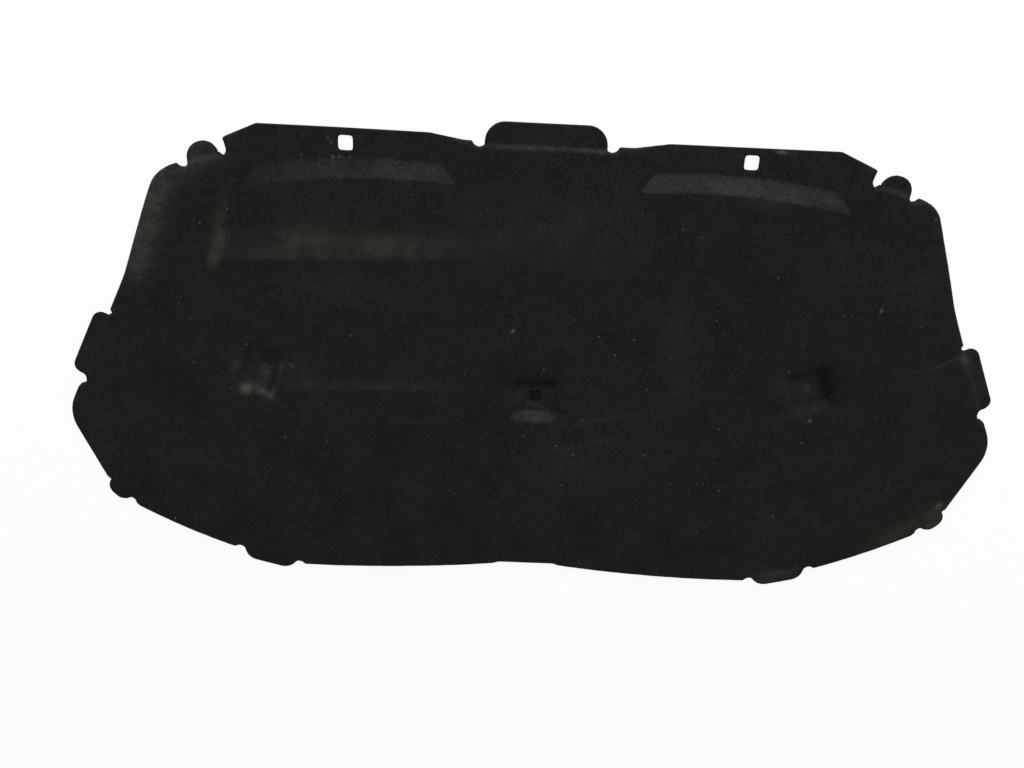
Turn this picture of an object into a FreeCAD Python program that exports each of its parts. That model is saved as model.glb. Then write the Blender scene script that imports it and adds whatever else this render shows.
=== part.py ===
import FreeCAD, Part
import math
import os
from enum import IntEnum

import Sketcher
from FreeCAD import Placement, Rotation, Vector

# Pressed felt pad for the underside of a car bonnet.
# It lies on its flat back at z = 0 with the engine side up. +Y points to the rear edge, X is across the car.

# Driving dimensions, in millimetres and degrees. Outline corners are given for the right half.
SIZES = [
    ("body_thickness", 16, "felt at the pad's face"),
    ("edge_thickness", 13, "height of the cut edge, below the face's sloping border"),
    ("pressed_thickness", 4, "felt pressed hard in the rear strips and pocket floors"),
    ("tab_thickness", 5, "felt pressed in the tabs"),
    ("edge_step", 0.8, "ledge between the cut edge and the face's sloping border"),
    ("body_draft", 32, "slope of the face's border from upright"),
    ("shelf_x", 100, "half length of the low rear edge that carries the centre tab"),
    ("shelf_y", 286, "low rear edge"),
    ("strip_inner_x", 141.5, "inner end of the straight rear strip edge"),
    ("strip_y", 292.5, "rear strip edge"),
    ("strip_outer_x", 343.5, "outer end of the straight rear strip edge"),
    ("strip_end_x", 386, "tip of the rear strip"),
    ("strip_end_y", 274.5, "tip of the rear strip"),
    ("corner_x", 382, "foot of the strip's end, where the corner edge starts"),
    ("corner_y", 259.5, "foot of the strip's end, where the corner edge starts"),
    ("shoulder_x", 465, "rear shoulder, before rounding"),
    ("shoulder_y", 236, "rear shoulder, before rounding"),
    ("shoulder_round", 35, "rounding of the rear shoulder"),
    ("waist_x", 512, "bend in the side edge, before rounding"),
    ("waist_y", 107, "bend in the side edge, before rounding"),
    ("waist_round", 200, "rounding of the bend in the side edge"),
    ("bulge_x", 605, "widest point, before rounding"),
    ("bulge_y", -82.5, "widest point, before rounding"),
    ("bulge_round", 52, "rounding of the widest point"),
    ("ear_upper_x", 565, "upper end of the short edge that carries the ear tab"),
    ("ear_upper_y", -178, "upper end of the short edge that carries the ear tab"),
    ("ear_lower_x", 527, "lower end of the short edge that carries the ear tab"),
    ("ear_lower_y", -221, "lower end of the short edge that carries the ear tab"),
    ("cheek_x", 405.5, "front end of the long bowed corner edge"),
    ("cheek_y", -278.5, "front end of the long bowed corner edge"),
    ("cheek_bow", 900, "radius of the long corner edge"),
    ("front_x", 306, "outer end of the front edge"),
    ("front_y", -304.5, "outer end of the front edge"),
    ("front_bow", 1800, "radius of the front edge"),
    ("relief_outer_x", 45.5, "front latch relief at the edge"),
    ("relief_outer_y", -291.5, "front latch relief at the edge"),
    ("relief_x", 37.5, "half length of the flat front latch relief"),
    ("relief_y", -288.5, "flat front latch relief"),
    ("tab_root", 9, "how far each tab runs into the edge"),
    ("notch_clear", 0.75, "how far a notch's middle stands off its tab, in notch radii"),
    ("centre_tab_shift", -4.5, "middle of the rear edge's tab from the pad's middle"),
    ("centre_tab_length", 143.5, ""),
    ("centre_tab_height", 25, ""),
    ("centre_tab_round", 24, ""),
    ("centre_tab_first_notch", 8.5, "radius of the relief notch before the tab"),
    ("centre_tab_first_depth", 6.7, ""),
    ("centre_tab_second_notch", 8.5, "radius of the relief notch after the tab"),
    ("centre_tab_second_depth", 6.7, ""),
    ("corner_tab_start", 11, "distance of the round corner tab along its edge"),
    ("corner_tab_length", 39, ""),
    ("corner_tab_height", 18, ""),
    ("corner_tab_round", 18.5, ""),
    ("corner_tab_first_notch", 5.5, ""),
    ("corner_tab_first_depth", 4.5, ""),
    ("corner_tab_second_notch", 8.5, ""),
    ("corner_tab_second_depth", 6.5, ""),
    ("side_tab_start", 60, "distance of the side tab along its edge"),
    ("side_tab_length", 90.5, ""),
    ("side_tab_height", 16, ""),
    ("side_tab_round", 12, ""),
    ("side_tab_first_notch", 4.5, ""),
    ("side_tab_first_depth", 5.5, ""),
    ("side_tab_second_notch", 11, ""),
    ("side_tab_second_depth", 7, ""),
    ("ear_tab_start", 5, "distance of the small ear tab along its edge"),
    ("ear_tab_length", 36, ""),
    ("ear_tab_height", 12.5, ""),
    ("ear_tab_round", 15, ""),
    ("ear_tab_first_notch", 3, ""),
    ("ear_tab_first_depth", 2, ""),
    ("ear_tab_second_notch", 5.5, ""),
    ("ear_tab_second_depth", 4, ""),
    ("front_tab_start", 16.5, "distance of the front tab along its edge"),
    ("front_tab_length", 74.5, ""),
    ("front_tab_height", 13.3, ""),
    ("front_tab_round", 20, ""),
    ("front_tab_first_notch", 6.5, ""),
    ("front_tab_first_depth", 5.5, ""),
    ("front_tab_second_notch", 6, ""),
    ("front_tab_second_depth", 4.5, ""),
    ("recess_inner_x", 107.5, "inner end of the crest in front of the rear strip"),
    ("recess_inner_y", 235.5, ""),
    ("recess_outer_x", 364, "outer end of the crest in front of the rear strip"),
    ("recess_outer_y", 220.5, ""),
    ("recess_bow", 880, "radius of that crest"),
    ("recess_inner_flare", 2, "lean of the recess's inner end wall"),
    ("recess_outer_flare", 3, "lean of the recess's outer end wall"),
    ("recess_draft", 59, "slope of the recess's walls from upright"),
    ("recess_overrun", 6, "how far the recess is cut past the strip's edge"),
    ("jet_hole_x", 239, "washer jet hole in each rear strip"),
    ("jet_hole_inset", 17.5, "its middle from the strip's edge"),
    ("jet_hole_size", 17, ""),
    ("hole_round", 2.5, "corner rounding of the square holes"),
    ("centre_pocket_y", -38, "middle of the centre clip pocket"),
    ("centre_pocket_width", 64.5, ""),
    ("centre_pocket_depth", 59.5, "front to rear"),
    ("side_pocket_x", 349.5, "middle of the side clip pocket"),
    ("side_pocket_y", -10.5, ""),
    ("side_pocket_width", 57.5, ""),
    ("side_pocket_depth", 61.5, "front to rear"),
    ("side_pocket_turn", 21, "turn of the side clip pocket"),
    ("pocket_round", 7, "corner rounding of the clip pockets"),
    ("pocket_draft", 35, "slope of the pocket walls from upright"),
    ("socket_size", 15.5, "square clip socket in each pocket's floor"),
    ("socket_skin", 1, "felt left behind a clip socket"),
]

doc = FreeCAD.newDocument("InsulationPad")
sheet = doc.addObject("Spreadsheet::Sheet", "Sizes")
for row, (alias, value, note) in enumerate(SIZES, start=1):
    sheet.set(f"A{row}", str(value))
    sheet.setAlias(f"A{row}", alias)
    sheet.set(f"B{row}", note)
doc.recompute()

pad = doc.addObject("PartDesign::Body", "insulation_pad")
pad.Label = "insulation_pad"
pad.Placement = Placement()

# The right half's corners in order, from the rear middle to the front middle: x, y and rounding.
HALF_OUTLINE = [
    (None, "shelf_y", None),
    ("shelf_x", "shelf_y", None),
    ("strip_inner_x", "strip_y", None),
    ("strip_outer_x", "strip_y", None),
    ("strip_end_x", "strip_end_y", None),
    ("corner_x", "corner_y", None),
    ("shoulder_x", "shoulder_y", "shoulder_round"),
    ("waist_x", "waist_y", "waist_round"),
    ("bulge_x", "bulge_y", "bulge_round"),
    ("ear_upper_x", "ear_upper_y", None),
    ("ear_lower_x", "ear_lower_y", None),
    ("cheek_x", "cheek_y", None),
    ("front_x", "front_y", None),
    ("relief_outer_x", "relief_outer_y", None),
    ("relief_x", "relief_y", None),
    (None, "relief_y", None),
]

# Edges of that outline that are bowed outwards, by the corner they start from.
BOWED_EDGES = {"ear_lower_x": "cheek_bow", "front_x": "front_bow"}

# Tabs on the right half: the outline corners that their edge runs between.
EDGE_TABS = {
    "corner_tab": ("corner", "shoulder"),
    "side_tab": ("waist", "bulge"),
    "ear_tab": ("ear_upper", "ear_lower"),
    "front_tab": ("cheek", "front"),
}


class Spot(IntEnum):
    """A place on a sketched edge, as the sketcher numbers it."""

    START = 1
    END = 2
    MIDDLE = 3


class Axis(IntEnum):
    """An axis of a sketch, as the sketcher numbers it."""

    X = -1
    Y = -2


def size(alias):
    """One driving dimension as a number."""
    return float(sheet.get(alias))


def cell(alias):
    """One driving dimension as it is named in an expression."""
    return f"Sizes.{alias}"


def origin_plane(role):
    """One of the body's own origin planes."""
    return next(item for item in pad.Origin.OriginFeatures if item.Role == role)


def new_sketch(name, height="0", base_x="0", base_y="0", turn="0"):
    """A sketch level with the back, moved and turned in its plane by expressions."""
    sketch = pad.newObject("Sketcher::SketchObject", name)
    sketch.AttachmentSupport = [(origin_plane("XY_Plane"), "")]
    sketch.MapMode = "FlatFace"
    sketch.AttachmentOffset = Placement(Vector(0, 0, 0), Rotation(Vector(0, 0, 1), 0))
    for path, expression in (("Base.x", base_x), ("Base.y", base_y), ("Base.z", height),
                             ("Rotation.Angle", turn)):
        sketch.setExpression(f"AttachmentOffset.{path}", expression)
    doc.recompute()
    return sketch


def constrain(sketch, kind, *references):
    """A constraint that fixes a relation and has no size."""
    return sketch.addConstraint(Sketcher.Constraint(kind, *references))


def dimension(sketch, kind, references, expression):
    """A constraint whose size follows an expression."""
    value = float(doc_value(sketch, expression))
    index = sketch.addConstraint(Sketcher.Constraint(kind, *references, value))
    sketch.setExpression(f"Constraints[{index}]", expression)
    return index


def doc_value(owner, expression):
    """The present value of an expression, as a plain number."""
    result = owner.evalExpression(expression)
    return getattr(result, "Value", result)


def place_point(sketch, geometry, position, x_expression, y_expression):
    """Dimension a point from the sketch's origin."""
    if x_expression is None:
        constrain(sketch, "PointOnObject", geometry, position, Axis.Y)
    else:
        dimension(sketch, "DistanceX", (Axis.X, Spot.START, geometry, position), x_expression)
    dimension(sketch, "DistanceY", (Axis.X, Spot.START, geometry, position), y_expression)


def bowed_arc(first, last, radius):
    """An arc from first to last that bows to the left of that direction."""
    chord = last - first
    half = chord.Length / 2
    rise = radius - math.sqrt(radius ** 2 - half ** 2)
    outward = Vector(-chord.y, chord.x, 0).normalize()
    middle = first + chord * 0.5 + outward * rise
    return Part.Arc(first, middle, last)


def rounded_corner(before, corner, after, radius):
    """Where a rounding touches the two edges of a corner."""
    back = (before - corner).normalize()
    ahead = (after - corner).normalize()
    half_angle = back.getAngle(ahead) / 2
    reach = radius / math.tan(half_angle)
    touch_back = corner + back * reach
    touch_ahead = corner + ahead * reach
    bisector = (back + ahead).normalize()
    middle = corner + bisector * (radius / math.sin(half_angle) - radius)
    return touch_back, middle, touch_ahead


def first_end(sketch, edge, point):
    """Which end of an edge lies nearer to a point."""
    near = (sketch.getPoint(edge, Spot.START) - point).Length
    far = (sketch.getPoint(edge, Spot.END) - point).Length
    return Spot.START if near < far else Spot.END


def other_end(end):
    """The opposite end of an edge."""
    return Spot.END if end == Spot.START else Spot.START


def draw_half_outline(sketch):
    """Draw and dimension the right half of the pad's outline, closed along the middle."""
    points = [Vector(size(x_name) if x_name else 0, size(y_name), 0) for x_name, y_name, _ in HALF_OUTLINE]
    touches = {}
    for index, (_, _, rounding) in enumerate(HALF_OUTLINE):
        if rounding:
            touches[index] = rounded_corner(points[index - 1], points[index], points[index + 1],
                                            size(rounding))
    edges = []
    for index in range(len(points) - 1):
        first = touches[index][2] if index in touches else points[index]
        last = touches[index + 1][0] if index + 1 in touches else points[index + 1]
        bow = BOWED_EDGES.get(HALF_OUTLINE[index][0])
        shape = bowed_arc(first, last, size(bow)) if bow else Part.LineSegment(first, last)
        edge = sketch.addGeometry(shape)
        if bow:
            dimension(sketch, "Radius", (edge,), cell(bow))
        edges.append((edge, first_end(sketch, edge, first)))
    closing = sketch.addGeometry(Part.LineSegment(points[-1], points[0]))
    edges.append((closing, Spot.START))
    for index, (x_name, y_name, rounding) in enumerate(HALF_OUTLINE):
        before, before_start = edges[index - 1]
        before_end = other_end(before_start)
        after, after_start = edges[index]
        x_expression = cell(x_name) if x_name else None
        if not rounding:
            constrain(sketch, "Coincident", before, before_end, after, after_start)
            place_point(sketch, after, after_start, x_expression, cell(y_name))
            continue
        corner = sketch.addGeometry(Part.Point(points[index]), True)
        place_point(sketch, corner, Spot.START, x_expression, cell(y_name))
        constrain(sketch, "PointOnObject", corner, Spot.START, before)
        constrain(sketch, "PointOnObject", corner, Spot.START, after)
        arc = sketch.addGeometry(Part.Arc(*touches[index]))
        arc_start = first_end(sketch, arc, touches[index][0])
        constrain(sketch, "Tangent", before, before_end, arc, arc_start)
        constrain(sketch, "Tangent", after, after_start, arc, other_end(arc_start))
        dimension(sketch, "Radius", (arc,), cell(rounding))


def new_feature(kind, name, sketch, length, draft="0", through=False):
    """A pad or pocket of a sketch, its length and draft bound to expressions."""
    feature = pad.newObject(f"PartDesign::{kind}", name)
    feature.Profile = sketch
    if through:
        feature.Type = "ThroughAll"
        feature.Midplane = True
    else:
        feature.setExpression("Length", length)
        feature.setExpression("TaperAngle", draft)
    doc.recompute()
    return feature


def mirror_across(name, originals):
    """Repeat features on the left half."""
    mirrored = pad.newObject("PartDesign::Mirrored", name)
    mirrored.Originals = originals
    mirrored.MirrorPlane = (origin_plane("YZ_Plane"), [""])
    pad.Tip = mirrored
    doc.recompute()
    return mirrored


def draw_rounded_box(sketch, left, right, low, high, rounding, round_low=True):
    """A rectangle with rounded corners, dimensioned from the sketch's origin by expressions."""
    x0, x1, y0, y1, radius = (doc_value(sketch, item) for item in (left, right, low, high, rounding))
    foot = radius if round_low else 0
    west = sketch.addGeometry(Part.LineSegment(Vector(x0, y0 + foot, 0), Vector(x0, y1 - radius, 0)))
    north = sketch.addGeometry(Part.LineSegment(Vector(x0 + radius, y1, 0), Vector(x1 - radius, y1, 0)))
    east = sketch.addGeometry(Part.LineSegment(Vector(x1, y1 - radius, 0), Vector(x1, y0 + foot, 0)))
    south = sketch.addGeometry(Part.LineSegment(Vector(x1 - foot, y0, 0), Vector(x0 + foot, y0, 0)))
    corners = [(west, north, Vector(x0 + radius, y1 - radius, 0), 90, 180),
               (north, east, Vector(x1 - radius, y1 - radius, 0), 0, 90)]
    if round_low:
        corners.append((east, south, Vector(x1 - radius, y0 + radius, 0), 270, 360))
        corners.append((south, west, Vector(x0 + radius, y0 + radius, 0), 180, 270))
    else:
        constrain(sketch, "Coincident", east, Spot.END, south, Spot.START)
        constrain(sketch, "Coincident", south, Spot.END, west, Spot.START)
    arcs = []
    for before, after, middle, first, last in corners:
        circle = Part.Circle(middle, Vector(0, 0, 1), radius)
        arc = sketch.addGeometry(Part.ArcOfCircle(circle, math.radians(first), math.radians(last)))
        constrain(sketch, "Tangent", before, Spot.END, arc, Spot.END)
        constrain(sketch, "Tangent", after, Spot.START, arc, Spot.START)
        arcs.append(arc)
    for arc in arcs[1:]:
        constrain(sketch, "Equal", arcs[0], arc)
    dimension(sketch, "Radius", (arcs[0],), rounding)
    for edge in (north, south):
        constrain(sketch, "Horizontal", edge)
    for edge in (west, east):
        constrain(sketch, "Vertical", edge)
    dimension(sketch, "DistanceX", (Axis.X, Spot.START, west, Spot.START), left)
    dimension(sketch, "DistanceX", (Axis.X, Spot.START, east, Spot.START), right)
    dimension(sketch, "DistanceY", (Axis.X, Spot.START, north, Spot.START), high)
    dimension(sketch, "DistanceY", (Axis.X, Spot.START, south, Spot.START), low)


def add_tab(tab, start, base_x, base_y, turn):
    """A thin tab on an edge, with a round relief notch at each of its ends."""
    finish = f"{start} + {cell(tab + '_length')}"
    notches = new_sketch(f"{tab}_notches", "0", base_x, base_y, turn)
    for end, sign, side in ((start, "-", "first"), (finish, "+", "second")):
        radius = cell(f"{tab}_{side}_notch")
        middle_x = f"{end} {sign} {cell('notch_clear')} * {radius}"
        middle_y = f"{radius} - {cell(f'{tab}_{side}_depth')}"
        middle = Vector(doc_value(notches, middle_x), doc_value(notches, middle_y), 0)
        circle = notches.addGeometry(Part.Circle(middle, Vector(0, 0, 1), doc_value(notches, radius)))
        dimension(notches, "Radius", (circle,), radius)
        dimension(notches, "DistanceX", (Axis.X, Spot.START, circle, Spot.MIDDLE), middle_x)
        dimension(notches, "DistanceY", (Axis.X, Spot.START, circle, Spot.MIDDLE), middle_y)
    underside = f"{cell('edge_thickness')} - {cell('tab_thickness')}"
    outline = new_sketch(f"{tab}_outline", underside, base_x, base_y, turn)
    rounding = f"min({cell(tab + '_round')}; 0.49 * {cell(tab + '_length')})"
    draw_rounded_box(outline, start, finish, f"-{cell('tab_root')}", cell(f"{tab}_height"), rounding,
                     round_low=False)
    cut = new_feature("Pocket", f"{tab}_notch_cut", notches, "", through=True)
    tongue = new_feature("Pad", tab, outline, cell("tab_thickness"))
    return [cut, tongue]


def edge_turn(first, last):
    """The direction of an outline edge, as an expression in degrees."""
    rise = f"{cell(last + '_y')} - {cell(first + '_y')}"
    run = f"{cell(last + '_x')} - {cell(first + '_x')}"
    return f"atan2({rise}; {run})"


def add_recess():
    """The sunk strip along the rear edge: a bowed crest in front and two flared ends."""
    sketch = new_sketch("recess_outline", cell("body_thickness"))
    depth = f"({cell('body_thickness')} - {cell('pressed_thickness')})"
    rear = f"{cell('strip_y')} + {depth} * tan({cell('recess_draft')}) + {cell('recess_overrun')}"
    inner_rear = (f"{cell('recess_inner_x')} - tan({cell('recess_inner_flare')}) * "
                  f"({rear} - {cell('recess_inner_y')})")
    outer_rear = (f"{cell('recess_outer_x')} + tan({cell('recess_outer_flare')}) * "
                  f"({rear} - {cell('recess_outer_y')})")
    inner_front = (cell("recess_inner_x"), cell("recess_inner_y"))
    outer_front = (cell("recess_outer_x"), cell("recess_outer_y"))
    corners = [inner_front, outer_front, (outer_rear, rear), (inner_rear, rear)]
    points = [Vector(doc_value(sketch, x), doc_value(sketch, y), 0) for x, y in corners]
    crest = sketch.addGeometry(bowed_arc(points[0], points[1], size("recess_bow")))
    dimension(sketch, "Radius", (crest,), cell("recess_bow"))
    lines = []
    for first, last in ((1, 2), (2, 3), (3, 0)):
        lines.append(sketch.addGeometry(Part.LineSegment(points[first], points[last])))
    outer, back, inner = lines
    constrain(sketch, "Coincident", crest, Spot.START, outer, Spot.START)
    constrain(sketch, "Coincident", outer, Spot.END, back, Spot.START)
    constrain(sketch, "Coincident", back, Spot.END, inner, Spot.START)
    constrain(sketch, "Coincident", inner, Spot.END, crest, Spot.END)
    for line, (x, y) in zip((inner, outer), corners[:2]):
        place_point(sketch, line, Spot.END if line is inner else Spot.START, x, y)
    place_point(sketch, outer, Spot.END, *corners[2])
    place_point(sketch, back, Spot.END, *corners[3])
    return new_feature("Pocket", "recess", sketch, depth, f"-{cell('recess_draft')}")


def add_pocket(name, base_x, base_y, turn, width, depth):
    """A clip pocket with sloping walls and a square clip socket in its floor."""
    mouth = new_sketch(f"{name}_mouth", cell("body_thickness"), base_x, base_y, turn)
    draw_rounded_box(mouth, f"-{width} / 2", f"{width} / 2", f"-{depth} / 2", f"{depth} / 2",
                     cell("pocket_round"))
    sink = f"{cell('body_thickness')} - {cell('pressed_thickness')}"
    pocket = new_feature("Pocket", name, mouth, sink, f"-{cell('pocket_draft')}")
    half = f"{cell('socket_size')} / 2"
    socket = new_sketch(f"{name}_socket_outline", cell("body_thickness"), base_x, base_y, turn)
    draw_rounded_box(socket, f"-{half}", half, f"-{half}", half, cell("hole_round"))
    cut = new_feature("Pocket", f"{name}_socket", socket, f"{cell('body_thickness')} - {cell('socket_skin')}")
    return [pocket, cut]


def add_jet_hole():
    """The square hole through a rear strip for a washer jet."""
    middle_y = f"{cell('strip_y')} - {cell('jet_hole_inset')}"
    sketch = new_sketch("jet_hole_outline", "0", cell("jet_hole_x"), middle_y)
    half = f"{cell('jet_hole_size')} / 2"
    draw_rounded_box(sketch, f"-{half}", half, f"-{half}", half, cell("hole_round"))
    return new_feature("Pocket", "jet_hole", sketch, "", through=True)


def top_face(shape, height):
    """The name of the upward face at a height that has the largest area."""
    best = None
    for index, face in enumerate(shape.Faces, start=1):
        level = abs(face.CenterOfMass.z - height) < 1e-6
        if level and face.normalAt(0, 0).z > 0.99 and (best is None or face.Area > best[0]):
            best = (face.Area, f"Face{index}")
    return best[1]


# Pad up to the top of its cut edge, drawn as a half and mirrored
outline_sketch = new_sketch("half_outline")
draw_half_outline(outline_sketch)
doc.recompute()
half_slab = new_feature("Pad", "half_slab", outline_sketch, cell("edge_thickness"))
slab = mirror_across("slab", [half_slab])

# Face of the pad, with a sloping border all round
face_outline = pad.newObject("PartDesign::SubShapeBinder", "face_outline")
face_outline.Support = [(slab, [top_face(slab.Shape, size("edge_thickness"))])]
face_outline.OffsetJoinType = "Intersection"
face_outline.setExpression("Offset", f"-{cell('edge_step')}")
doc.recompute()
new_feature("Pad", "face", face_outline, f"{cell('body_thickness')} - {cell('edge_thickness')}",
            f"-{cell('body_draft')}")

# Tab near the middle of the rear edge
add_tab("centre_tab", f"-{cell('centre_tab_length')} / 2", cell("centre_tab_shift"), cell("shelf_y"), "0")

# Tabs, rear strip, clip pocket and jet hole of the right half, then their mirror images
right_half = []
for tab, (first, last) in EDGE_TABS.items():
    right_half += add_tab(tab, cell(f"{tab}_start"), cell(f"{first}_x"), cell(f"{first}_y"),
                          edge_turn(first, last))
right_half.append(add_recess())
right_half += add_pocket("side_pocket", cell("side_pocket_x"), cell("side_pocket_y"),
                         cell("side_pocket_turn"), cell("side_pocket_width"), cell("side_pocket_depth"))
right_half.append(add_jet_hole())
mirror_across("left_half", right_half)

# Clip pocket on the middle line
add_pocket("centre_pocket", "0", cell("centre_pocket_y"), "0", cell("centre_pocket_width"),
           cell("centre_pocket_depth"))

failed = [item.Name for item in doc.Objects if {"Invalid", "Error"} & set(item.State)]
if failed:
    raise RuntimeError(f"these did not build: {failed}")
if pad.Shape.isNull() or not pad.Shape.isValid():
    raise RuntimeError("the pad is not a valid solid")

os.makedirs("parts", exist_ok=True)
pad.Shape.exportStep(f"parts/{pad.Label}.step")
print(f"{pad.Label}: {pad.Shape.Volume:.0f} mm3, {len(pad.Shape.Faces)} faces")
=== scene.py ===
"""Bonnet insulation pad of pressed black felt: its looks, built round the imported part, in metres."""
import logging
import math
from dataclasses import dataclass, field
from enum import Enum

import bpy
import numpy as np
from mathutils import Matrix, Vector, noise


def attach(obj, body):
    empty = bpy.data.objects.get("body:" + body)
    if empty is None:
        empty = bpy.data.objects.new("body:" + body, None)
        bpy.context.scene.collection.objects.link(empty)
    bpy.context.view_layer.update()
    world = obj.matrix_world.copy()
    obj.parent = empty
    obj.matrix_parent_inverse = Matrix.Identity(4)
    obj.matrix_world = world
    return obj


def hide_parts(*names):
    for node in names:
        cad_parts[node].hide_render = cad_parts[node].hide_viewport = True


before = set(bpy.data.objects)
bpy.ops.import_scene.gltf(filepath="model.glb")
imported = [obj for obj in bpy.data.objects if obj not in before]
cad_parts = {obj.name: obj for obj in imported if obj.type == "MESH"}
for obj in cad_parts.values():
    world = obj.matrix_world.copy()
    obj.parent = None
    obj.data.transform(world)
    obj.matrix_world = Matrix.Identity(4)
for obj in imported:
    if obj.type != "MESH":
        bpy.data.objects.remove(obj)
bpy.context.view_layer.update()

LOG = logging.getLogger("pad")
Point = tuple[float, float]
Colour = tuple[float, float, float]


def ease(low: float, high: float, value: np.ndarray) -> np.ndarray:
    """Smooth rise from 0 at low to 1 at high.

    Args:
        low: value at which the rise starts.
        high: value at which the rise ends.
        value: values to look up.
    Returns:
        The eased values, from 0 to 1.
    """
    t = np.clip((value - low) / (high - low), 0.0, 1.0)
    return t * t * (3.0 - 2.0 * t)


def rgba(colour: Colour) -> tuple[float, float, float, float]:
    """The colour with full alpha."""
    return (*colour, 1.0)


class DustAndHighlight(Enum):
    """What lies on the felt, together with the pale painted highlights, and the channel of the attribute
    that holds each.
    """

    ROAD = 0
    RUST = 1
    PALE_DUST_AND_HIGHLIGHT = 2
    LINT = 3


@dataclass(frozen=True)
class Line:
    """A straight line on the pad's face, from which marks and folds are measured."""

    start: Point
    end: Point
    fade: float = 0.04

    def across(self, x: np.ndarray, y: np.ndarray) -> np.ndarray:
        """Signed distance of points from the line, positive on its left.

        Args:
            x: the points' x.
            y: the points' y.
        Returns:
            The distances in metres.
        """
        run = Vector(self.end) - Vector(self.start)
        run.normalize()
        return run.x * (y - self.start[1]) - run.y * (x - self.start[0])

    def along(self, x: np.ndarray, y: np.ndarray) -> np.ndarray:
        """How fully points lie between the line's ends.

        Args:
            x: the points' x.
            y: the points' y.
        Returns:
            1 between the ends, falling to 0 over the fade past each end.
        """
        run = Vector(self.end) - Vector(self.start)
        length = run.length
        run.normalize()
        s = run.x * (x - self.start[0]) + run.y * (y - self.start[1])
        return ease(-self.fade, self.fade, s) * (1.0 - ease(length - self.fade, length + self.fade, s))


@dataclass(frozen=True)
class Band:
    """A soft fold: a low ridge that falls away to the left of its crest and holds dust there."""

    crest: Line
    reach: float
    dust_and_highlight: DustAndHighlight
    strength: float
    height: float = 0.0
    edge: float = 0.005

    def mask(self, x: np.ndarray, y: np.ndarray) -> np.ndarray:
        """Dust on the band, strongest at the crest, where it stops.

        Args:
            x: the points' x.
            y: the points' y.
        Returns:
            The dust's share at each point.
        """
        d = self.crest.across(x, y)
        thins = 1.0 - ease(0.2 * self.reach, self.reach, d)
        return ease(0.0, self.edge, d) * thins * self.crest.along(x, y)

    def lift(self, x: np.ndarray, y: np.ndarray) -> np.ndarray:
        """Height of the ridge at points.

        Args:
            x: the points' x.
            y: the points' y.
        Returns:
            The heights in metres.
        """
        d = self.crest.across(x, y)
        front = ease(-4.0 * self.edge, 0.0, d)
        rear = 1.0 - ease(0.0, self.reach, d)
        return self.height * front * rear * self.crest.along(x, y)


@dataclass(frozen=True)
class Streak:
    """A mark or crease along a line, fading out to both sides."""

    line: Line
    width: float
    dust_and_highlight: DustAndHighlight
    strength: float
    height: float = 0.0

    def mask(self, x: np.ndarray, y: np.ndarray) -> np.ndarray:
        """Dust along the streak, or a painted highlight for streaks in the pale channel."""
        return np.exp(-((self.line.across(x, y) / self.width) ** 2)) * self.line.along(x, y)

    def lift(self, x: np.ndarray, y: np.ndarray) -> np.ndarray:
        """Height of the crease at points."""
        return self.height * self.mask(x, y)


@dataclass(frozen=True)
class Area:
    """A soft round or long area of the face, strongest in its middle."""

    centre: Point
    radii: Point
    turn: float
    strength: float

    def mask(self, x: np.ndarray, y: np.ndarray) -> np.ndarray:
        """How fully points lie in the area.

        Args:
            x: the points' x.
            y: the points' y.
        Returns:
            1 in the middle, falling to 0 past the radii.
        """
        c, s = math.cos(math.radians(self.turn)), math.sin(math.radians(self.turn))
        dx, dy = x - self.centre[0], y - self.centre[1]
        u, v = (c * dx + s * dy) / self.radii[0], (c * dy - s * dx) / self.radii[1]
        return np.exp(-(u * u + v * v))


@dataclass(frozen=True)
class Patch(Area):
    """A soft patch of dust, or of painted highlight in the pale channel, with no height of its own."""

    dust_and_highlight: DustAndHighlight


@dataclass(frozen=True)
class Pull(Area):
    """A part of the soft sheet that lies pulled aside."""

    shift: Point


@dataclass(frozen=True)
class Pocket:
    """A clip pocket: how far its walls are crumpled, how often it is smoothed and down to what height."""

    centre: Point
    crumple: float
    passes: int
    lowest: float
    reach: float = 0.042

    def mask(self, x: np.ndarray, y: np.ndarray) -> np.ndarray:
        """How near points are to the pocket's middle, from 0 to 1."""
        dx, dy = x - self.centre[0], y - self.centre[1]
        return np.exp(-(dx * dx + dy * dy) / self.reach ** 2)


Fold = Band | Streak
Mark = Fold | Patch

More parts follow.
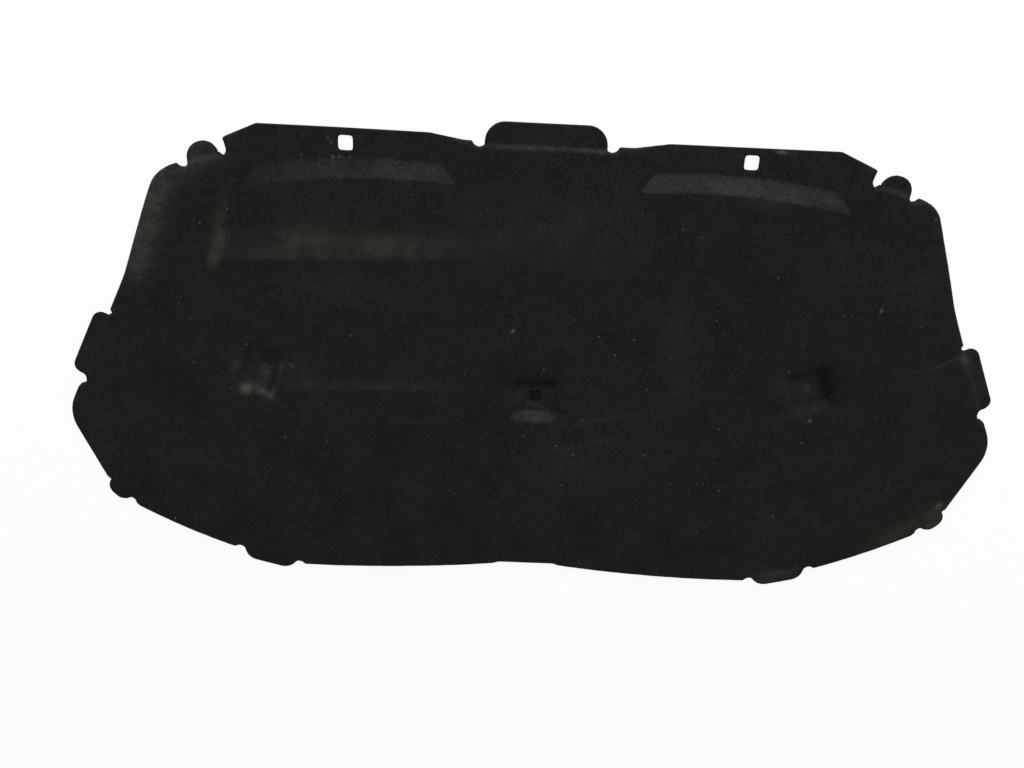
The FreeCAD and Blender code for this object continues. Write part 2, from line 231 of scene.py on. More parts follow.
MARKS: tuple[Mark, ...] = (
    Band(Line((-0.385, 0.131), (-0.120, 0.144), 0.06), 0.046, DustAndHighlight.ROAD, 0.52, 0.0012),
    Patch((-0.286, 0.160), (0.036, 0.020), 0.0, 0.85, DustAndHighlight.ROAD),
    Patch((-0.190, 0.160), (0.042, 0.015), 0.0, 0.56, DustAndHighlight.ROAD),
    Patch((-0.100, 0.163), (0.050, 0.014), 6.0, 0.30, DustAndHighlight.ROAD),
    Patch((-0.265, 0.105), (0.060, 0.020), 0.0, 0.28, DustAndHighlight.ROAD),
    Band(Line((-0.310, -0.039), (-0.120, -0.031), 0.05), 0.024, DustAndHighlight.ROAD, 0.42, 0.0008),
    Streak(Line((-0.384, 0.205), (-0.391, 0.165)), 0.009, DustAndHighlight.RUST, 0.65),
    Streak(Line((-0.390, 0.160), (-0.401, 0.130), 0.02), 0.007, DustAndHighlight.RUST, 1.8),
    Streak(Line((0.170, 0.120), (0.185, -0.050)), 0.018, DustAndHighlight.ROAD, 0.16, 0.0004),
    Patch((0.012, 0.183), (0.070, 0.040), 0.0, 0.34, DustAndHighlight.ROAD),
    Patch((0.165, 0.075), (0.014, 0.026), 0.0, 0.20, DustAndHighlight.ROAD),
    Patch((0.055, -0.130), (0.055, 0.032), 15.0, 0.28, DustAndHighlight.ROAD),
    Streak(Line((-0.180, -0.076), (-0.122, -0.073), 0.02), 0.003, DustAndHighlight.ROAD, 0.34, 0.0002),
    Streak(Line((0.050, -0.072), (0.136, -0.049), 0.03), 0.004, DustAndHighlight.ROAD, 0.34, 0.0002),
    Streak(Line((0.023, -0.112), (0.103, -0.091), 0.03), 0.004, DustAndHighlight.ROAD, 0.32, 0.0002),
    Streak(Line((-0.520, -0.137), (-0.440, -0.142)), 0.006, DustAndHighlight.ROAD, 0.16, 0.0003),
    Streak(Line((-0.451, -0.141), (-0.399, -0.154), 0.02), 0.005, DustAndHighlight.ROAD, 0.26, 0.0002),
    Streak(Line((-0.187, -0.174), (-0.094, -0.175)), 0.005, DustAndHighlight.ROAD, 0.14, 0.0002),
    Streak(Line((0.470, 0.021), (0.499, 0.026), 0.02), 0.0022, DustAndHighlight.ROAD, 0.48, 0.0004),
    Streak(Line((0.499, 0.026), (0.529, 0.044), 0.01), 0.0022, DustAndHighlight.ROAD, 0.65, 0.0005),
    # Painted highlights: pale streaks and patches along the left and rear-left edges and the corner and
    # centre tab roots, which face the lamp.
    Streak(Line((-0.500, 0.112), (-0.454, 0.236), 0.03), 0.017, DustAndHighlight.PALE_DUST_AND_HIGHLIGHT, 0.24),
    Streak(Line((-0.455, 0.236), (-0.390, 0.250), 0.02), 0.007, DustAndHighlight.PALE_DUST_AND_HIGHLIGHT, 0.10),
    Patch((-0.437, 0.229), (0.028, 0.012), 15.0, 0.07, DustAndHighlight.PALE_DUST_AND_HIGHLIGHT),
    Patch((-0.412, 0.264), (0.024, 0.014), -15.0, 0.14, DustAndHighlight.PALE_DUST_AND_HIGHLIGHT),
    Streak(Line((-0.428, 0.247), (-0.393, 0.257), 0.008), 0.004, DustAndHighlight.PALE_DUST_AND_HIGHLIGHT, 0.14),
    Streak(Line((0.393, 0.257), (0.428, 0.247), 0.008), 0.003, DustAndHighlight.PALE_DUST_AND_HIGHLIGHT, 0.08),
    Streak(Line((-0.070, 0.2820), (0.064, 0.2828), 0.012), 0.0022, DustAndHighlight.PALE_DUST_AND_HIGHLIGHT, 0.16),
    Patch((0.061, 0.2820), (0.005, 0.0025), 0.0, 0.22, DustAndHighlight.PALE_DUST_AND_HIGHLIGHT),
    # Painted highlight along the right side tab's root.
    Streak(Line((0.5365, 0.0505), (0.5740, -0.0230), 0.008), 0.004, DustAndHighlight.PALE_DUST_AND_HIGHLIGHT, 0.06),
    Patch((0.5400, 0.0425), (0.007, 0.009), 25.0, 0.22, DustAndHighlight.PALE_DUST_AND_HIGHLIGHT),
    Patch((0.462, 0.140), (0.030, 0.020), 30.0, 0.28, DustAndHighlight.ROAD),
    Streak(Line((0.470, -0.245), (0.556, -0.176), 0.03), 0.011, DustAndHighlight.RUST, 0.60),
    Patch((0.551, -0.171), (0.008, 0.005), 40.0, 0.85, DustAndHighlight.RUST),
    Patch((0.552, -0.170), (0.005, 0.003), 40.0, 0.40, DustAndHighlight.PALE_DUST_AND_HIGHLIGHT),
    Patch((0.551, -0.197), (0.018, 0.010), 49.0, 1.2, DustAndHighlight.RUST),
    Patch((0.352, -0.293), (0.030, 0.012), 15.0, 0.95, DustAndHighlight.ROAD),
    Streak(Line((0.325, -0.2965), (0.385, -0.2815), 0.01), 0.0025, DustAndHighlight.PALE_DUST_AND_HIGHLIGHT, 0.24),
    Patch((-0.372, -0.039), (0.007, 0.006), 20.0, 1.0, DustAndHighlight.PALE_DUST_AND_HIGHLIGHT),
    Patch((-0.354, -0.041), (0.008, 0.005), -20.0, 0.45, DustAndHighlight.PALE_DUST_AND_HIGHLIGHT),
    Patch((-0.341, -0.048), (0.006, 0.004), -30.0, 0.32, DustAndHighlight.PALE_DUST_AND_HIGHLIGHT),
    Streak(Line((-0.323, -0.001), (-0.338, -0.044), 0.006), 0.003, DustAndHighlight.PALE_DUST_AND_HIGHLIGHT, 0.12),
    Streak(Line((-0.365, 0.023), (-0.320, 0.007), 0.006), 0.006, DustAndHighlight.ROAD, 0.50),
    Streak(Line((0.320, 0.008), (0.361, 0.021), 0.006), 0.006, DustAndHighlight.ROAD, 0.60),
    Streak(Line((-0.026, -0.0145), (0.026, -0.0140), 0.004), 0.004, DustAndHighlight.ROAD, 0.40),
    Streak(Line((-0.0094, -0.045), (-0.0105, -0.066), 0.004), 0.0018, DustAndHighlight.PALE_DUST_AND_HIGHLIGHT, 0.10),
    Patch((-0.3495, -0.012), (0.020, 0.020), 0.0, 0.45, DustAndHighlight.ROAD),
    Patch((-0.348, -0.014), (0.006, 0.010), 0.0, 0.20, DustAndHighlight.PALE_DUST_AND_HIGHLIGHT),
    Patch((-0.367, 0.023), (0.0015, 0.0015), 0.0, 0.90, DustAndHighlight.PALE_DUST_AND_HIGHLIGHT),
    Patch((-0.312, -0.003), (0.005, 0.002), -30.0, 0.40, DustAndHighlight.PALE_DUST_AND_HIGHLIGHT),
    Patch((-0.305, -0.012), (0.022, 0.016), 0.0, 0.40, DustAndHighlight.ROAD),
    Patch((0.349, -0.008), (0.010, 0.010), 0.0, 0.90, DustAndHighlight.ROAD),
    Patch((-0.022, -0.041), (0.010, 0.013), 0.0, 0.50, DustAndHighlight.ROAD),
    Patch((0.000, -0.052), (0.010, 0.005), 0.0, 0.60, DustAndHighlight.ROAD),
    Patch((-0.378, -0.006), (0.009, 0.020), -20.0, 0.80, DustAndHighlight.ROAD),
    Patch((0.262, 0.2325), (0.018, 0.008), 0.0, 0.45, DustAndHighlight.ROAD),
    Patch((0.338, 0.2370), (0.012, 0.005), -15.0, 0.06, DustAndHighlight.PALE_DUST_AND_HIGHLIGHT),
    Patch((-0.2540, 0.2600), (0.0016, 0.0016), 0.0, 0.75, DustAndHighlight.PALE_DUST_AND_HIGHLIGHT),
    Patch((-0.2455, 0.2610), (0.0020, 0.0012), 0.0, 0.60, DustAndHighlight.PALE_DUST_AND_HIGHLIGHT),
    Patch((-0.2340, 0.2605), (0.0018, 0.0012), 0.0, 0.40, DustAndHighlight.PALE_DUST_AND_HIGHLIGHT),
    Patch((-0.2590, 0.2830), (0.0016, 0.0020), 0.0, 0.40, DustAndHighlight.PALE_DUST_AND_HIGHLIGHT),
    Patch((-0.2550, 0.2770), (0.0016, 0.0016), 0.0, 0.40, DustAndHighlight.PALE_DUST_AND_HIGHLIGHT),
    Patch((0.2725, 0.2893), (0.0080, 0.0020), -3.0, 0.85, DustAndHighlight.PALE_DUST_AND_HIGHLIGHT),
    # Painted highlight: a glint along the right side tab's edge.
    Patch((0.565, 0.016), (0.010, 0.040), 26.0, 0.05, DustAndHighlight.PALE_DUST_AND_HIGHLIGHT),
    Patch((0.314, -0.004), (0.012, 0.014), 0.0, 0.50, DustAndHighlight.ROAD),
    Patch((0.422, 0.103), (0.0016, 0.0022), 0.0, 0.95, DustAndHighlight.PALE_DUST_AND_HIGHLIGHT),
    Patch((-0.033, 0.056), (0.0018, 0.0018), 0.0, 0.95, DustAndHighlight.PALE_DUST_AND_HIGHLIGHT),
    Patch((0.358, -0.051), (0.0020, 0.0020), 0.0, 1.0, DustAndHighlight.PALE_DUST_AND_HIGHLIGHT),
    Patch((0.149, -0.111), (0.0016, 0.0016), 0.0, 0.80, DustAndHighlight.PALE_DUST_AND_HIGHLIGHT),
    Patch((0.120, -0.020), (0.330, 0.130), 0.0, 1.0, DustAndHighlight.LINT),
)

# Where the felt is stretched over a wall and rubbed smooth; these walls face the lamp, and their paler
# bluish colour is partly wear and partly painted highlight.
RUBBED_AND_LIT: tuple[Area, ...] = (
    Area((-0.185, 0.244), (0.130, 0.020), 2.0, 0.42),
    Area((0.240, 0.240), (0.300, 0.024), -4.0, 0.80),
    Area((-0.006, -0.064), (0.034, 0.014), 0.0, 0.9),
    Area((0.360, -0.037), (0.024, 0.012), 21.0, 0.22),
    Area((-0.358, -0.037), (0.026, 0.012), -21.0, 0.06),
)

# Painted shade: darker patches on the side pockets' walls, a thin dark slit at the right socket, a patch
# behind the centre socket and one at the left recess's outer end, where those hollows lie in shadow.
SHADE_PATCHES: tuple[Area, ...] = (
    Area((0.373, 0.003), (0.012, 0.028), 12.0, 1.0),
    Area((0.3435, -0.006), (0.0018, 0.005), 0.0, 0.9),
    Area((-0.336, -0.021), (0.005, 0.017), -12.0, 0.80),
    Area((0.008, -0.024), (0.012, 0.005), 0.0, 0.40),
    Area((-0.352, 0.238), (0.020, 0.022), 0.0, 0.25),
)

# How the sheet lies: the left rear corner pulled in, the rear edge beside it back and the right edge out.
PULLS: tuple[Pull, ...] = (
    Pull((-0.418, 0.262), (0.060, 0.055), -15.0, 1.0, (0.0080, 0.0030)),
    Pull((-0.300, 0.290), (0.170, 0.080), 0.0, 1.0, (0.0, 0.0025)),
    Pull((0.515, 0.150), (0.060, 0.110), 0.0, 1.0, (0.0025, 0.0)),
)

POCKETS: tuple[Pocket, ...] = (
    Pocket((0.0, -0.038), 0.0006, 50, 0.0050),
    Pocket((0.3495, -0.0105), 0.0014, 70, 0.0035),
    Pocket((-0.3495, -0.0105), 0.0022, 100, 0.0035),
)


class Graph:
    """A node tree with short calls to add and join nodes."""

    def __init__(self, tree: bpy.types.NodeTree) -> None:
        """Keeps the tree."""
        self.tree = tree

    def add(self, kind: str, props: dict | None = None, **inputs: object) -> bpy.types.Node:
        """Adds a node, sets its properties and fills or joins its inputs.

        Args:
            kind: the node's type name.
            props: the node's own properties.
            inputs: values or output sockets by input name, with _ for a space.
        Returns:
            The new node.
        """
        node = self.tree.nodes.new(kind)
        for name, value in (props or {}).items():
            setattr(node, name, value)
        for name, value in inputs.items():
            self.put(node, name.replace("_", " "), value)
        return node

    def put(self, node: bpy.types.Node, name: str | int, value: object) -> None:
        """Sets an input to a value, or joins it to an output socket.

        Args:
            node: the node whose input it is.
            name: the input's name, or its number.
            value: a plain value or an output socket.
        """
        socket = node.inputs[name]
        if isinstance(value, bpy.types.NodeSocket):
            self.tree.links.new(value, socket)
        else:
            socket.default_value = value

    def math(self, operation: str, a: object, b: object = 0.0, clamp: bool = False) -> bpy.types.NodeSocket:
        """A sum of two numbers.

        Args:
            operation: the Math node's operation.
            a: first value or socket.
            b: second value or socket.
            clamp: whether the result is kept from 0 to 1.
        Returns:
            The result's socket.
        """
        node = self.add("ShaderNodeMath", {"operation": operation, "use_clamp": clamp})
        self.put(node, 0, a)
        self.put(node, 1, b)
        return node.outputs["Value"]

    def ramp(
        self, value: object, low: float, high: float, to_low: float = 0.0, to_high: float = 1.0
    ) -> bpy.types.NodeSocket:
        """A smooth change of range, clamped.

        Args:
            value: the socket that is read.
            low: value that gives to_low.
            high: value that gives to_high.
            to_low: result at low.
            to_high: result at high.
        Returns:
            The result's socket.
        """
        node = self.add("ShaderNodeMapRange", {"interpolation_type": "SMOOTHSTEP"})
        ends = {"From Min": low, "From Max": high, "To Min": to_low, "To Max": to_high}
        for name, number in ends.items():
            node.inputs[name].default_value = number
        self.put(node, "Value", value)
        return node.outputs["Result"]

    def scaled(self, value: object, factor: float, start: float) -> bpy.types.NodeSocket:
        """A value times a factor, from a start.

        Args:
            value: the socket that is read.
            factor: what it is multiplied by.
            start: what is added.
        Returns:
            The result's socket.
        """
        socket = self.math("MULTIPLY_ADD", value, factor)
        socket.node.inputs[2].default_value = start
        return socket

    def mix(self, factor: object, a: object, b: object) -> bpy.types.NodeSocket:
        """A mix of two colours.

        Args:
            factor: share of b, a value or socket.
            a: first colour or socket.
            b: second colour or socket.
        Returns:
            The mixed colour's socket.
        """
        node = self.add("ShaderNodeMix", {"data_type": "RGBA"})
        for number, value in ((0, factor), (6, a), (7, b)):
            self.put(node, number, value)
        return node.outputs[2]

    def noise(self, place: bpy.types.NodeSocket, scale: float, detail: float = 2.0) -> bpy.types.NodeSocket:
        """Cloudy noise at a number of cells per metre.

        Args:
            place: the coordinates.
            scale: cells per metre.
            detail: octaves.
        Returns:
            The noise value's socket.
        """
        return self.add("ShaderNodeTexNoise", None, Vector=place, Scale=scale, Detail=detail).outputs[0]


@dataclass(frozen=True)
class FeltFinish:
    """Black non-woven felt, dusty on its face, with painted highlights where walls, edges and tab roots
    face the lamp and painted shade in its sockets and pockets.
    """

    black: Colour = (0.0114, 0.0114, 0.0114)
    warm_black: Colour = (0.0137, 0.0139, 0.0119)
    # Painted highlight, partly wear: the paler bluish colour of the walls that face the lamp.
    rubbed_and_lit: Colour = (0.0295, 0.0305, 0.0318)
    # Painted shade: the near-black colour of the centre socket's floor and of the dark patches in the
    # pockets.
    socket: Colour = (0.0058, 0.0058, 0.0052)
    road_dust: Colour = (0.0360, 0.0375, 0.0300)
    rust_dust: Colour = (0.0440, 0.0385, 0.0270)
    # Pale dust, and also the painted highlights on the edges and tab roots that face the lamp.
    pale_dust_and_highlight: Colour = (0.1500, 0.1450, 0.1300)
    lint: Colour = (0.2000, 0.2000, 0.1850)
    fibres_per_metre: float = 850.0
    strands: tuple[Point, ...] = ((0.3, 3.0), (1.4, 3.5), (2.5, 2.5))
    strand_share: float = 0.6
    tone_start: float = 0.55
    tone_range: float = 0.9
    grain_per_metre: float = 90.0
    mottle_per_metre: float = 17.0
    rubbed_and_lit_per_metre: float = 16.0
    cling_per_metre: float = 45.0
    lint_per_metre: float = 90.0
    lint_bend: float = 0.0025
    lint_bends_per_metre: float = 260.0
    lint_size: Point = (0.06, 0.07)
    lint_limit: Point = (0.93, -0.14)
    lint_bright: Point = (0.06, 0.7)
    lint_bright_power: float = 14.0
    roughness: Point = (0.95, 0.80)
    specular: float = 0.04
    bump_strength: float = 0.55
    bump_depth: float = 0.0008
    sheen: float = 0.02
    sheen_roughness: float = 0.55

    def fibre_group(self) -> bpy.types.NodeTree:
        """The node group of matted fibres, with a height and a tone.

        Returns:
            The group.
        """
        group = bpy.data.node_groups.new("matted_fibres", "ShaderNodeTree")
        group.interface.new_socket("Place", in_out="INPUT", socket_type="NodeSocketVector")
        group.interface.new_socket("Height", in_out="OUTPUT", socket_type="NodeSocketFloat")
        group.interface.new_socket("Tone", in_out="OUTPUT", socket_type="NodeSocketFloat")
        g = Graph(group)
        place = g.add("NodeGroupInput").outputs["Place"]
        strands = None
        for turn, stretch in self.strands:
            turned = g.add("ShaderNodeMapping", None, Vector=place)
            turned.inputs["Rotation"].default_value = (0.0, 0.0, turn)
            turned.inputs["Scale"].default_value = (1.0, 1.0 / stretch, 1.0)
            strand = g.noise(turned.outputs[0], self.fibres_per_metre, 1.0)
            strands = strand if strands is None else g.math("MAXIMUM", strands, strand)
        clumps = g.noise(place, self.fibres_per_metre / 2.0, 2.0)
        strands = g.math("MULTIPLY", strands, self.strand_share)
        height = g.math("ADD", strands, g.math("MULTIPLY", clumps, 1.0 - self.strand_share))
        g.add("NodeGroupOutput", None, Height=height, Tone=g.ramp(height, 0.40, 0.68))
        return group

    def lint_group(self) -> bpy.types.NodeTree:
        """The node group of stray lint specks, as a mask.

        Returns:
            The group.
        """
        group = bpy.data.node_groups.new("stray_lint", "ShaderNodeTree")
        group.interface.new_socket("Place", in_out="INPUT", socket_type="NodeSocketVector")
        group.interface.new_socket("Density", in_out="INPUT", socket_type="NodeSocketFloat")
        group.interface.new_socket("Mask", in_out="OUTPUT", socket_type="NodeSocketFloat")
        g = Graph(group)
        start = g.add("NodeGroupInput")
        place = start.outputs["Place"]
        wander = g.add("ShaderNodeTexNoise", None, Vector=place, Detail=1.0)
        wander.inputs["Scale"].default_value = self.lint_bends_per_metre
        bent = g.add("ShaderNodeVectorMath", {"operation": "MULTIPLY_ADD"})
        for number, value in ((0, wander.outputs["Color"]), (1, (self.lint_bend,) * 3), (2, place)):
            g.put(bent, number, value)
        flat = {"voronoi_dimensions": "2D"}
        cells = g.add("ShaderNodeTexVoronoi", flat, Vector=bent.outputs[0], Scale=self.lint_per_metre)
        chance = g.add("ShaderNodeSeparateColor", None, Color=cells.outputs["Color"])
        size = g.scaled(chance.outputs["Green"], self.lint_size[1], self.lint_size[0])
        spot = g.math("SUBTRACT", 1.0, g.math("DIVIDE", cells.outputs["Distance"], size), True)
        limit = g.scaled(start.outputs["Density"], self.lint_limit[1], self.lint_limit[0])
        chosen = g.math("GREATER_THAN", chance.outputs["Red"], limit)
        few = g.math("POWER", chance.outputs["Blue"], self.lint_bright_power)
        bright = g.scaled(few, self.lint_bright[1], self.lint_bright[0])
        mask = g.math("MULTIPLY", g.math("MULTIPLY", g.ramp(spot, 0.0, 0.5), chosen), bright)
        g.add("NodeGroupOutput", None, Mask=mask)
        return group

    def build(self) -> bpy.types.Material:
        """Makes the felt's material.

        Returns:
            The material.
        """
        material = bpy.data.materials.new("black_felt")
        material.use_nodes = True
        g = Graph(material.node_tree)
        shader = material.node_tree.nodes["Principled BSDF"]
        place = g.add("ShaderNodeTexCoord").outputs["Object"]
        fibres = g.add("ShaderNodeGroup", {"node_tree": self.fibre_group()}, Place=place)
        dust_and_highlight = g.add("ShaderNodeAttribute", {"attribute_name": "dust_and_highlight"})
        kinds = g.add("ShaderNodeSeparateColor", None, Color=dust_and_highlight.outputs["Color"])
        rubbed_and_lit = g.add("ShaderNodeAttribute", {"attribute_name": "rubbed_and_lit"}).outputs["Fac"]
        painted_shade = g.add("ShaderNodeAttribute", {"attribute_name": "painted_shade"}).outputs["Fac"]
        lint = g.add("ShaderNodeGroup", {"node_tree": self.lint_group()}, Place=place)
        g.put(lint, "Density", dust_and_highlight.outputs["Alpha"])

        mottle = g.ramp(g.noise(place, self.mottle_per_metre, 4.0), 0.36, 0.66)
        colour = g.mix(mottle, rgba(self.black), rgba(self.warm_black))
        # Painted highlight, partly wear: walls that face the lamp take the paler rubbed colour, in patches.
        patchy = g.ramp(g.noise(place, self.rubbed_and_lit_per_metre, 2.0), 0.30, 0.62, 0.45, 1.0)
        colour = g.mix(g.math("MULTIPLY", rubbed_and_lit, patchy), colour, rgba(self.rubbed_and_lit))
        # Painted shade: the centre socket's floor and the pockets' dark patches turn near-black.
        colour = g.mix(painted_shade, colour, rgba(self.socket))
        tone = g.scaled(fibres.outputs["Tone"], self.tone_range, self.tone_start)
        grain = g.ramp(g.noise(place, self.grain_per_metre, 3.0), 0.30, 0.70, 0.90, 1.10)
        tone = g.math("MULTIPLY", tone, grain)
        shade = g.add("ShaderNodeMix", {"data_type": "RGBA", "blend_type": "MULTIPLY"})
        for number, value in ((0, 1.0), (6, colour), (7, tone)):
            g.put(shade, number, value)
        colour = shade.outputs[2]
        cloudy = g.ramp(g.noise(place, self.cling_per_metre, 3.0), 0.30, 0.62, 0.45, 1.0)
        cling = g.math("MULTIPLY", cloudy, g.ramp(fibres.outputs["Tone"], 0.0, 0.9, 0.6, 1.0))
        # The pale channel holds pale dust and also painted highlights on the edges and tab roots that face
        # the lamp.
        tints = {"Red": self.road_dust, "Green": self.rust_dust, "Blue": self.pale_dust_and_highlight}
        for channel, tint in tints.items():
            colour = g.mix(g.math("MULTIPLY", kinds.outputs[channel], cling, True), colour, rgba(tint))
        colour = g.mix(lint.outputs["Mask"], colour, rgba(self.lint))
        g.put(shader, "Base Color", colour)
        g.put(shader, "Roughness", g.ramp(rubbed_and_lit, 0.0, 1.0, *self.roughness))
        bump = g.add("ShaderNodeBump", None, Strength=self.bump_strength, Distance=self.bump_depth)
        g.put(bump, "Height", fibres.outputs["Height"])
        g.put(shader, "Normal", bump.outputs["Normal"])
        shader.inputs["Specular IOR Level"].default_value = self.specular
        shader.inputs["Sheen Weight"].default_value = self.sheen
        shader.inputs["Sheen Roughness"].default_value = self.sheen_roughness
        return material


@dataclass
class FeltPad:
    """The whole pad: one sheet of felt, pressed to its thickness in a mould."""

    finish: FeltFinish
    marks: tuple[Mark, ...] = MARKS
    rubbed_and_lit: tuple[Area, ...] = RUBBED_AND_LIT
    shade_patches: tuple[Area, ...] = SHADE_PATCHES
    pockets: tuple[Pocket, ...] = POCKETS
    pulls: tuple[Pull, ...] = PULLS
    shaded_socket_reach: float = 0.1
    voxel: float = 0.0020
    edge_passes: int = 5
    crest_passes: int = 14
    pocket_share: float = 0.25
    pressed_top: float = 0.004
    edge_top: float = 0.013
    face_top: float = 0.016
    socket_floor: float = 0.001
    above: float = 0.001
    wave_height: float = 0.0007
    wave_cells: Point = (7.0, 9.0)
    lump_height: float = 0.00022
    lump_cells: float = 55.0
    crumple_cells: float = 42.0
    wall_slope: Point = (0.10, 0.40)
    piece: bpy.types.Object | None = field(default=None, init=False)

    def build(self) -> bpy.types.Object:
        """Makes the pad from the part's own solid.

        Returns:
            The finished piece.
        """
        self.take_solid()
        self.remesh()
        self.soften()
        self.settle()
        self.sculpt()
        self.dress()
        return self.piece

    def take_solid(self) -> None:
        """Copies the part's solid into a new piece and joins its loose triangles."""
        bpy.ops.object.select_all(action="DESELECT")
        self.piece = bpy.data.objects.new("felt_pad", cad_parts["insulation_pad"].data.copy())
        self.piece.data.materials.clear()
        bpy.context.collection.objects.link(self.piece)
        self.piece.select_set(True)
        bpy.context.view_layer.objects.active = self.piece
        bpy.ops.object.mode_set(mode="EDIT")
        bpy.ops.mesh.select_all(action="SELECT")
        bpy.ops.mesh.remove_doubles(threshold=0.00001)
        bpy.ops.object.mode_set(mode="OBJECT")

    def remesh(self) -> None:
        """Gives the pad an even skin, fine enough for its thin rim."""
        self.piece.data.remesh_voxel_size = self.voxel
        bpy.ops.object.voxel_remesh()

    def points(self) -> np.ndarray:
        """The piece's points.

        Returns:
            One row of x, y and z for each point.
        """
        flat = np.empty(len(self.piece.data.vertices) * 3)
        self.piece.data.vertices.foreach_get("co", flat)
        return flat.reshape(-1, 3)

    def normals(self) -> np.ndarray:
        """The normals at the piece's points.

        Returns:
            One row of x, y and z for each point.
        """
        flat = np.empty(len(self.piece.data.vertices) * 3, np.float32)
        self.piece.data.vertex_normals.foreach_get("vector", flat)
        return flat.reshape(-1, 3)

    def smooth(self, name: str, passes: int, where: np.ndarray | None = None) -> None:
        """Smooths the piece with a modifier that is applied at once.

        Args:
            name: the modifier's name.
            passes: how often each point moves towards its neighbours.
            where: which points may move, or nothing for all of them.
        """
        modifier = self.piece.modifiers.new(name, "SMOOTH")
        modifier.factor = 0.5
        modifier.iterations = passes
        if where is not None:
            group = self.piece.vertex_groups.new(name=name)
            group.add(np.flatnonzero(where).tolist(), 1.0, "REPLACE")
            modifier.vertex_group = name
        bpy.ops.object.modifier_apply(modifier=name)
        self.piece.vertex_groups.clear()

    def soften(self) -> None:
        """Rounds all edges a little, the moulded crests more and the pockets' mouths most."""
        self.smooth("cut_edges", self.edge_passes)
        x, y, z = self.points().T
        self.smooth("moulded_edges", self.crest_passes, z > self.edge_top + self.above)
        for pocket in self.pockets:
            near = pocket.mask(x, y) > self.pocket_share
            self.smooth("pocket_mouth", pocket.passes, near & (z > pocket.lowest))

    def settle(self) -> None:
        """Lets the soft sheet lie as it does in the photograph, pulled a few millimetres out of true."""
        co = self.points()
        x, y = co[:, 0].copy(), co[:, 1].copy()
        for pull in self.pulls:
            share = pull.strength * pull.mask(x, y)
            co[:, 0] += pull.shift[0] * share
            co[:, 1] += pull.shift[1] * share
        self.piece.data.vertices.foreach_set("co", co.ravel())
        self.piece.data.update()

    def sculpt(self) -> None:
        """Moves the face's points for the felt's waves and folds, and keeps the marks, the painted
        highlights and the painted shade as attributes.
        """
        co, n = self.points(), self.normals()
        x, y, z = co.T
        face = ease(0.0, 0.4, n[:, 2])
        raised = ease(self.pressed_top, self.face_top - 0.002, z) * face
        wave = np.zeros(len(co))
        crumple = sum(pocket.crumple * pocket.mask(x, y) for pocket in self.pockets)
        for i in np.flatnonzero(raised > 0.0):
            at = Vector((x[i], y[i], 0.0))
            broad = Vector((self.wave_cells[0] * x[i], self.wave_cells[1] * y[i], 0.3))
            wave[i] = self.wave_height * noise.noise(broad)
            wave[i] += self.lump_height * noise.noise(self.lump_cells * at + Vector((0.0, 0.0, 1.7)))
            wave[i] += crumple[i] * noise.noise(self.crumple_cells * at + Vector((0.0, 0.0, 4.1)))
        lift = wave + sum(mark.lift(x, y) for mark in self.marks if isinstance(mark, Fold))
        dust_and_highlight = np.zeros((len(co), 4))
        for mark in self.marks:
            dust_and_highlight[:, mark.dust_and_highlight.value] += mark.strength * mark.mask(x, y) * face
        # Painted highlight, partly wear: walls that face the lamp at +y, within the rubbed areas.
        lit_wall = ease(*self.wall_slope, n[:, 1]) * face
        rubbed_and_lit = lit_wall * sum(area.strength * area.mask(x, y) for area in self.rubbed_and_lit)
        # Painted shade: the centre socket's floor, made dark like an open hole, and the dark patches in the
        # pockets.
        in_socket = 1.0 - ease(self.socket_floor + self.above, self.pressed_top - 0.0005, z)
        painted_shade = face * in_socket * ease(0.0002, 0.0006, z)
        painted_shade *= np.abs(x) < self.shaded_socket_reach
        painted_shade += face * sum(shade_patch.strength * shade_patch.mask(x, y) for shade_patch in self.shade_patches)
        co[:, 2] += lift * raised
        self.piece.data.vertices.foreach_set("co", co.ravel())
        layer = self.piece.data.attributes.new("dust_and_highlight", "FLOAT_COLOR", "POINT")
        layer.data.foreach_set("color", np.clip(dust_and_highlight, 0.0, 1.0).astype(np.float32).ravel())
        self.keep("rubbed_and_lit", rubbed_and_lit)
        self.keep("painted_shade", painted_shade)
        self.piece.data.update()

    def keep(self, name: str, values: np.ndarray) -> None:
        """Keeps one number per point as an attribute.

        Args:
            name: the attribute's name.
            values: a number for each point.
        """
        layer = self.piece.data.attributes.new(name, "FLOAT", "POINT")
        layer.data.foreach_set("value", np.clip(values, 0.0, 1.0).astype(np.float32))

    def dress(self) -> None:
        """Shades the pad, gives it its felt and ties it to the part."""
        bpy.ops.object.shade_smooth()
        self.piece.data.materials.append(self.finish.build())
        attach(self.piece, "root")
        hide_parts("insulation_pad")


@dataclass(frozen=True)
class Lamp:
    """A soft square lamp that points at the pad."""

    name: str
    place: tuple[float, float, float]
    size: float
    watts: float
    colour: Colour

    def build(self) -> None:
        """Adds the lamp."""
        bpy.ops.object.light_add(type="AREA", location=self.place)
        lamp = bpy.context.object
        lamp.name = self.name
        lamp.data.size = self.size
        lamp.data.energy = self.watts
        lamp.data.color = self.colour
        lamp.rotation_euler = (-Vector(self.place)).to_track_quat("-Z", "Y").to_euler()


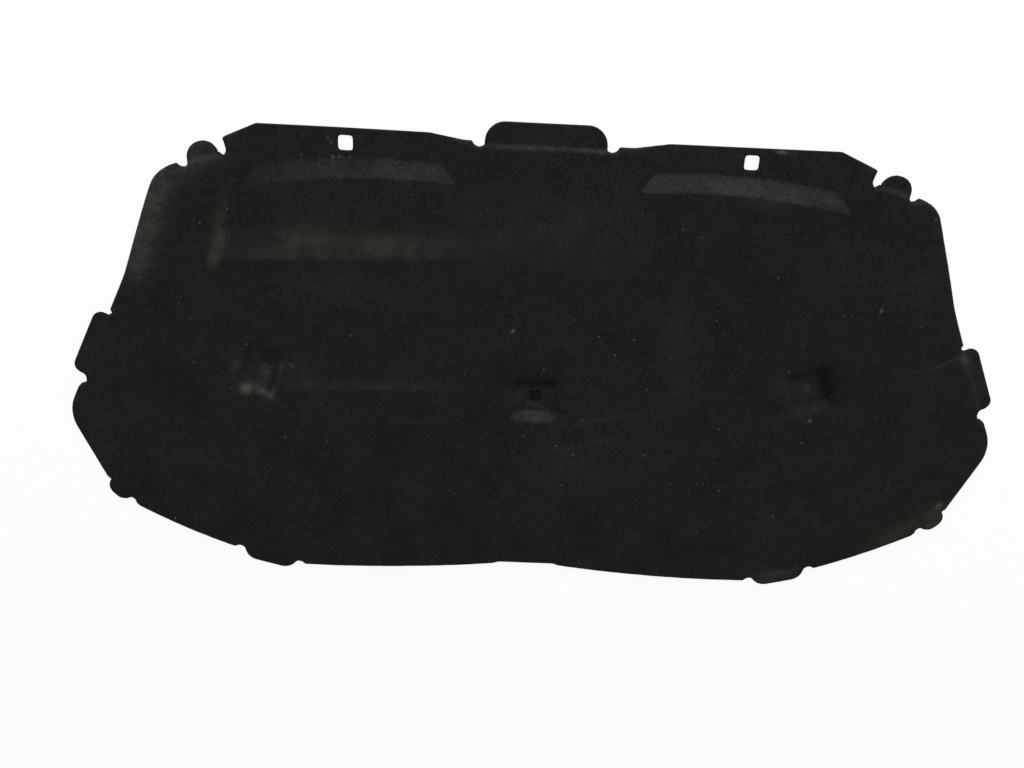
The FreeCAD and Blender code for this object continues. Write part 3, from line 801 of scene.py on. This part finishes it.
@dataclass
class Studio:
    """Pale floor, soft light and the camera of the photograph."""

    camera_place: tuple[float, float, float] = (-0.05266, 0.49913, 1.18620)
    camera_turn: tuple[float, float, float] = (-23.79, 0.06, 2.56)
    lens: float = 35.156
    sensor: float = 36.0
    floor_size: float = 8.0
    floor_gap: float = 0.0005
    floor_colour: Colour = (0.93, 0.93, 0.93)
    floor_glow: float = 0.93
    sky: float = 0.16
    lamps: tuple[Lamp, ...] = (
        Lamp("window", (-0.20, 3.80, 2.87), 2.2, 224.0, (0.97, 0.99, 1.0)),
        Lamp("room", (0.9, -1.4, 1.9), 2.2, 6.0, (1.0, 0.98, 0.95)),
    )

    def build(self) -> None:
        """Sets the stage."""
        self.add_floor()
        for lamp in self.lamps:
            lamp.build()
        self.add_world()
        self.add_camera()
        bpy.context.scene.view_settings.view_transform = "Standard"

    def seen(self, g: Graph) -> bpy.types.NodeSocket:
        """Tells whether a ray shows the stage itself: straight, in a reflection or through glass.

        Args:
            g: the tree it is made in.
        Returns:
            The mask's socket.
        """
        ray = g.add("ShaderNodeLightPath").outputs
        first = g.math("MAXIMUM", ray["Is Camera Ray"], ray["Is Glossy Ray"])
        return g.math("MAXIMUM", first, ray["Is Transmission Ray"])

    def add_floor(self) -> None:
        """Adds the floor, which keeps a soft shadow of the pad."""
        bpy.ops.object.select_all(action="DESELECT")
        bpy.ops.mesh.primitive_plane_add(size=self.floor_size, location=(0.0, 0.0, -self.floor_gap))
        floor = bpy.context.object
        floor.name = "floor"
        material = bpy.data.materials.new("pale_floor")
        material.use_nodes = True
        g = Graph(material.node_tree)
        shader = material.node_tree.nodes["Principled BSDF"]
        shader.inputs["Base Color"].default_value = rgba(self.floor_colour)
        shader.inputs["Roughness"].default_value = 1.0
        shader.inputs["Specular IOR Level"].default_value = 0.0
        glow = g.add("ShaderNodeEmission", None, Color=rgba((1.0, 1.0, 1.0)), Strength=1.0)
        blend = g.add("ShaderNodeMixShader", None, Fac=g.math("MULTIPLY", self.seen(g), self.floor_glow))
        g.put(blend, 1, shader.outputs[0])
        g.put(blend, 2, glow.outputs[0])
        g.put(material.node_tree.nodes["Material Output"], "Surface", blend.outputs[0])
        floor.data.materials.append(material)

    def add_world(self) -> None:
        """Lights the room evenly, with a white background behind the floor."""
        world = bpy.data.worlds.new("room")
        bpy.context.scene.world = world
        world.use_nodes = True
        g = Graph(world.node_tree)
        back = world.node_tree.nodes["Background"]
        back.inputs["Color"].default_value = rgba((1.0, 1.0, 1.0))
        strength = g.math("MULTIPLY_ADD", self.seen(g), 1.0 - self.sky)
        strength.node.inputs[2].default_value = self.sky
        g.put(back, "Strength", strength)

    def add_camera(self) -> None:
        """Adds the camera where the photograph was taken."""
        turn = [math.radians(angle) for angle in self.camera_turn]
        bpy.ops.object.camera_add(location=self.camera_place, rotation=turn)
        camera = bpy.context.object
        camera.data.sensor_fit = "HORIZONTAL"
        camera.data.sensor_width = self.sensor
        camera.data.lens = self.lens
        bpy.context.scene.camera = camera


def main() -> None:
    """Builds the stage and the pad, and reports each."""
    logging.basicConfig(level=logging.INFO, format="%(name)s: %(message)s")
    Studio().build()
    LOG.info("stage set")
    pad = FeltPad(FeltFinish()).build()
    LOG.info("%s: %d points, %d faces", pad.name, len(pad.data.vertices), len(pad.data.polygons))


if __name__ == "__main__":
    main()
